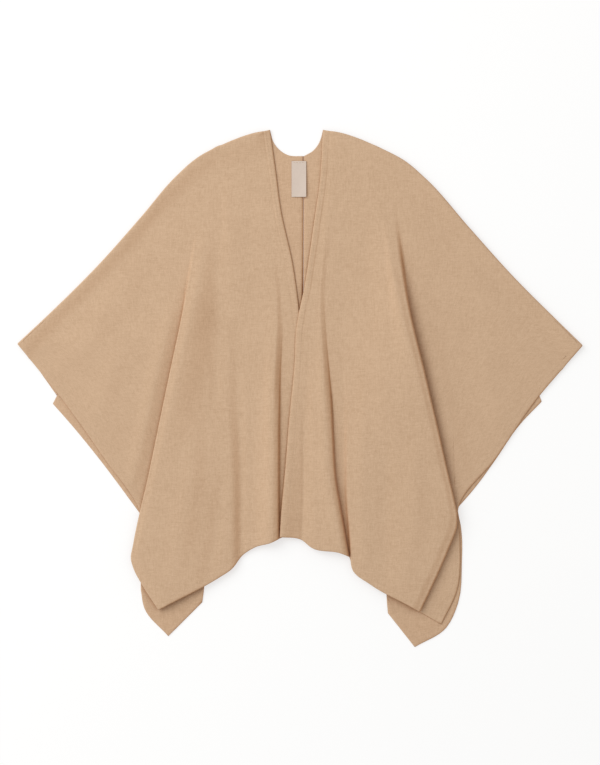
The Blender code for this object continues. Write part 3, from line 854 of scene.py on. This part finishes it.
backLeft = {
    "side": "back",
    "turned": -1,
    "shoulder": shoulderLeft,
    "neck": neckLeft,
    "rows": 70,
    "pressed": 0.5,
    "creases": [
        crease(onBody, (42, 20, 0, 9), (46, -90, 1.1, 11), (54, -190, 1.5, 11), (64, -270, 1.1, 11)),
    ],
    "folds": [
        fold("centreSeam", -1.0, 10, [(6, 80), (5, -252)]),
        fold("neckCurve", -0.55, 10, [(60, -262)]),
        fold("neckPoint", 0.0, 10, [(110, -300)], corner=True),
        fold("innerHem", 0.10, 4, [(158, -345)], corner=True),
        fold("innerFold", 0.15, 8, [(161, -411)], corner=True),
        fold("corner", 0.20, 8, [(210, -473)], corner=True),
        fold("outerHem", 0.25, 4, [(254, -190), (268, -437)]),
        fold("outerFold", 0.29, 4, [(264, -190), (289, -393)]),
        fold("sideBulge", 0.34, 4, [(272, -190), (296, -316)]),
        fold("sideFold", 0.38, 6, [(278, -190), (296, -270)]),
        fold("sideAtPleat", 0.42, 6, [(287, -220)], corner=True),
        fold("sideLower", 0.49, 8, [(322, -179)]),
        fold("sideMiddle", 0.56, 8, [(355, -134)]),
        fold("sideHigh", 0.63, 6, [(385, 0), (403, -65)]),
        fold("sideCorner", 0.72, 6, [(410, 18), (442, -24)], corner=True),
        fold("sideInside", 0.79, 8, [(427, 18), (436, -9)], corner=True),
        fold("wrist", 1.0, 0, [(478, 37)]),
    ],
}


def edgeGaps(points, meets, side):
    # each point's distance along the cloth from the front edge, from the hem and side, and from a seam
    columnRun, rowRun = runs(points, 1), runs(points, 0)
    hem = np.minimum((columnRun[:, -1:] - columnRun) * meets[:, None], rowRun[-1:] - rowRun)
    if side == "front":
        return rowRun, hem, columnRun
    return np.full_like(rowRun, np.inf), hem, np.minimum(columnRun, rowRun)


def makePanel(name, panel, material):
    points, plan, kinds, meets = panelGrid(panel)
    if panel["side"] == "back":
        points[0, :, 0] -= panel["turned"] * cloth["seamGap"] / 2
    points = creased(points, kinds, panel["creases"], cloth[panel["side"] + "Level"])
    frontGap, hemGap, seamGap = edgeGaps(points, meets, panel["side"])
    nearest = np.minimum(frontGap, hemGap)
    half = cloth["thickness"] / 2 * np.minimum(roundedRim(nearest, edge["rounding"]),
                                               roundedRim(seamGap, edge["seamRounding"]))
    above, below, least = edge["flatter"]
    proud = least + (1 - least) * smoothstep(below, above, points[..., 1])
    strength = np.where(frontGap < hemGap, proud, edge["hemShare"])
    raised = turnedEdge(nearest) * strength * half * 2 / cloth["thickness"]
    # a pressed edge thins from above and stays down on the cloth below it
    points[..., 2] -= panel["pressed"] * (cloth["thickness"] / 2 - half) * (seamGap > edge["rounding"])
    piece, top, normal = shell(name, points, plan, panel["turned"], half, raised, material)
    at = edge["stitchedAt"]
    lines = [(top[-1 - at, at:-at], normal[-1 - at, at:-at])]
    if panel["side"] == "front":
        lines.append((top[at, at:-at], normal[at, at:-at]))
        for part in (onBody, onArm):
            columns = np.where(kinds == part)[0]
            columns = columns[(columns >= at) & (columns < len(kinds) - at)]
            lines.append((top[columns, -1 - at], normal[columns, -1 - at]))
    else:
        columns = slice(edge["seamColumns"], -at)
        lines.append((top[columns, -1 - at], normal[columns, -1 - at]))
    stitches = sewn(name.replace("Cloth", "Stitches"), lines, thread)
    print(name, len(piece.data.vertices), "vertices")
    return piece, stitches


stitch = {
    "pitch": 5.2,
    "length": 3.6,
    "width": 0.7,
    "height": 0.6,
    "sunk": 0.15,
    "rings": (-0.5, -0.36, 0.0, 0.36, 0.5),
    "girths": (0.25, 0.85, 1.0, 0.85, 0.25),
    "sides": 6,
    "headingOver": 1.5,     # to either side along the line
}


def sewn(name, lines, material):
    # one small float of thread, copied along each line
    rings, sides = len(stitch["rings"]), stitch["sides"]
    turn = np.arange(sides) * 2 * math.pi / sides
    model = np.array([(t * stitch["length"], g * stitch["width"] / 2 * math.cos(a),
                       g * stitch["height"] / 2 * math.sin(a))
                      for t, g in zip(stitch["rings"], stitch["girths"]) for a in turn])
    shape = []
    for ring in range(rings - 1):
        for k in range(sides):
            first, second = ring * sides + k, ring * sides + (k + 1) % sides
            shape.append([first, second, second + sides, first + sides])
    shape += [list(range(sides))[::-1], [(rings - 1) * sides + k for k in range(sides)]]
    verts, faces = [], []
    for line, up in lines:
        run = runs(line, 0)
        for middle in np.arange(stitch["pitch"], run[-1] - stitch["pitch"], stitch["pitch"]):
            here, before, after = (np.array([np.interp(middle + d, run, line[:, k]) for k in range(3)])
                                   for d in (0, -stitch["headingOver"], stitch["headingOver"]))
            heading = unit(after - before)
            rise = np.array([np.interp(middle, run, up[:, k]) for k in range(3)])
            beside = unit(np.cross(rise, heading))
            rise = np.cross(heading, beside)
            base = len(verts)
            verts += (here - rise * stitch["sunk"] + model @ np.stack([heading, beside, rise])).tolist()
            faces += [[base + k for k in face] for face in shape]
    mesh = bpy.data.meshes.new(name)
    mesh.from_pydata((np.array(verts) * mm).tolist(), [], faces)
    mesh.materials.append(material)
    mesh.shade_smooth()
    return placed(name, mesh)


threadLook = {
    "colour": (0.56, 0.385, 0.250),
    "shade": (0.7, 0.7, 0.7),
    "strands": ((2200, 2200, 2200), 2, 4.4),
    "bump": 0.4,
    "bumpDepth": 0.0002,
    "roughness": 0.8,
}


def threadMaterial():
    made, tree, shader = newMaterial("camelThread")
    space = node(tree, "ShaderNodeTexCoord").outputs["Object"]
    strands = noiseOf(tree, space, *threadLook["strands"])
    darker = tinted(threadLook["colour"], threadLook["shade"])
    link(tree, mixed(tree, strands, threadLook["colour"], darker), shader.inputs["Base Color"])
    bumped(tree, shader, strands, threadLook["bump"], threadLook["bumpDepth"])
    shader.inputs["Roughness"].default_value = threadLook["roughness"]
    return made


thread = threadMaterial()
frontRightCloth, frontRightStitches = makePanel("frontRightCloth", frontRight, wool)
frontLeftCloth, frontLeftStitches = makePanel("frontLeftCloth", frontLeft, wool)
backRightCloth, backRightStitches = makePanel("backRightCloth", backRight, woolBack)
backLeftCloth, backLeftStitches = makePanel("backLeftCloth", backLeft, woolBack)
for piece, stitches, nodeName, slotName in (
        (frontRightCloth, frontRightStitches, "front_right", "wool"),
        (frontLeftCloth, frontLeftStitches, "front_left", "wool"),
        (backRightCloth, backRightStitches, "back_right", "wool_back"),
        (backLeftCloth, backLeftStitches, "back_left", "wool_back")):
    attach(piece, "root")
    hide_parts(nodeName)
    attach(stitches, "root")
print("panels made")

# The label: woven tape sewn along its top, its wearer's-left edge a little lifted.
label = {
    "left": -15.5,
    "top": 416.0,
    "width": 27.0,
    "length": 66.0,
    "level": 3.2,
    "wall": 0.7,
    "lift": 2.5,
    "curl": 0.5,
    "curls": 2.2,           # half waves down its length
    "columns": 36,
    "rows": 72,
    "selvedge": 1.4,
    "selvedgeEnds": 0.8,    # where the thicker selvedge and hem start to end
    "hem": 3.0,
    "hemEnds": 0.9,
    "raised": 0.16,
    "seamAt": 2.6,
    "rounding": 0.6,
    "colour": (0.655, 0.540, 0.455),
    "darker": (0.90, 0.90, 0.90),
    "lighter": (1.08, 1.08, 1.08),
    "weft": 420,
    "warp": 560,
    "uneven": 0.6,
    "clouds": ((180, 180, 1), 3, 1.7),
    "wovenShare": 0.35,
    "cloudyShare": 0.4,
    "bump": 0.35,
    "bumpDepth": 0.0002,
    "surface": {"Roughness": 0.6, "Sheen Weight": 0.2},
}


def labelMaterial():
    made, tree, shader = newMaterial("labelTape")
    grain = node(tree, "ShaderNodeTexCoord").outputs["UV"]
    threads = []
    for direction, scale in (("Y", label["weft"]), ("X", label["warp"])):
        wave = node(tree, "ShaderNodeTexWave", wave_type="BANDS", bands_direction=direction)
        setInputs(wave, {"Scale": scale, "Distortion": label["uneven"]})
        link(tree, grain, wave.inputs["Vector"])
        threads.append(wave.outputs["Fac"])
    woven = maths(tree, "MULTIPLY", *threads)
    cloudy = noiseOf(tree, grain, *label["clouds"])
    tone = maths(tree, "ADD", maths(tree, "MULTIPLY", woven, label["wovenShare"]),
                 maths(tree, "MULTIPLY", cloudy, label["cloudyShare"]))
    darker, lighter = (tinted(label["colour"], label[key]) for key in ("darker", "lighter"))
    link(tree, mixed(tree, tone, darker, lighter), shader.inputs["Base Color"])
    bumped(tree, shader, woven, label["bump"], label["bumpDepth"])
    setInputs(shader, label["surface"])
    return made


def makeLabel():
    across = np.linspace(0, 1, label["columns"] + 1)[:, None]
    down = np.linspace(0, 1, label["rows"] + 1)[None, :]
    x = label["left"] + label["width"] * across + 0 * down
    y = label["top"] - label["length"] * down + 0 * across
    z = label["level"] + label["lift"] * across ** 2 * np.sin(math.pi / 2 * down)
    z = z + label["curl"] * np.sin(math.pi * across) * np.sin(label["curls"] * math.pi * down) * down
    side = np.minimum(across, 1 - across) * label["width"] + 0 * down
    end = np.minimum(down, 1 - down) * label["length"] + 0 * across
    half = label["wall"] / 2 * roundedRim(np.minimum(side, end), label["rounding"])
    raised = label["raised"] * (1 - smoothstep(label["selvedgeEnds"] * label["selvedge"],
                                               label["selvedge"], side))
    raised = raised + label["raised"] * (1 - smoothstep(label["hemEnds"] * label["hem"], label["hem"], end))
    points = np.stack([x, y, z], axis=-1)
    piece, top, normal = shell("labelTape", points, points[..., :2], -1, half, raised, labelMaterial())
    row = int(round(label["seamAt"] / label["length"] * label["rows"]))
    return piece, sewn("labelStitches", [(top[:, row], normal[:, row])], thread)


labelTape, labelStitches = makeLabel()
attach(labelTape, "root")
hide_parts("care_label")
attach(labelStitches, "root")
print("label made")

studio = {
    "floorSize": 9.0,
    "floorDrop": 0.0002,
    "floor": {"Base Color": (0.42, 0.42, 0.42, 1), "Roughness": 0.9, "Specular IOR Level": 0.0,
              "Emission Color": (1.0, 0.997, 0.990, 1), "Emission Strength": 0.58},
    "sky": {"Color": (1.0, 0.995, 0.985, 1), "Strength": 0.70},
    "keyPlace": (-2.6, 1.6, 2.6),
    "keySize": 2.8,
    "keyPower": 88.0,
    "photoPixel": 1.83,       # millimetres on the floor for one pixel of the photograph
    "photoRows": 765,
    "photoMiddleRow": 382.5,
    "originRow": 388.5,       # the photograph's row that Y = 0 lies on
    "cameraHeight": 4.0,
    "sensor": 36.0,
}

floorMaterial, _, floorShader = newMaterial("paleFloor")
setInputs(floorShader, studio["floor"])

half = studio["floorSize"] / 2
floorMesh = bpy.data.meshes.new("floor")
floorMesh.from_pydata([(-half, -half, 0), (half, -half, 0), (half, half, 0), (-half, half, 0)], [],
                      [(0, 1, 2, 3)])
floorMesh.materials.append(floorMaterial)
floor = placed("floor", floorMesh)
floor.location.z = -studio["floorDrop"]

world = bpy.data.worlds.new("studioSky")
bpy.context.scene.world = world
world.use_nodes = True
setInputs(world.node_tree.nodes["Background"], studio["sky"])

keyData = bpy.data.lights.new("keyLight", "AREA")
keyData.size = studio["keySize"]
keyData.energy = studio["keyPower"]
keyLight = placed("keyLight", keyData)
keyLight.location = studio["keyPlace"]
keyLight.rotation_mode = "QUATERNION"
keyLight.rotation_quaternion = Vector(studio["keyPlace"]).to_track_quat("Z", "Y")

cameraData = bpy.data.cameras.new("camera")
cameraData.sensor_width = studio["sensor"]
photoLength = studio["photoRows"] * studio["photoPixel"] * mm
cameraData.lens = studio["sensor"] * studio["cameraHeight"] / photoLength
camera = placed("camera", cameraData)
middleY = (studio["originRow"] - studio["photoMiddleRow"]) * studio["photoPixel"] * mm
camera.location = (0, middleY, studio["cameraHeight"])
bpy.context.scene.camera = camera
bpy.context.scene.view_settings.view_transform = "Standard"
print("studio made")
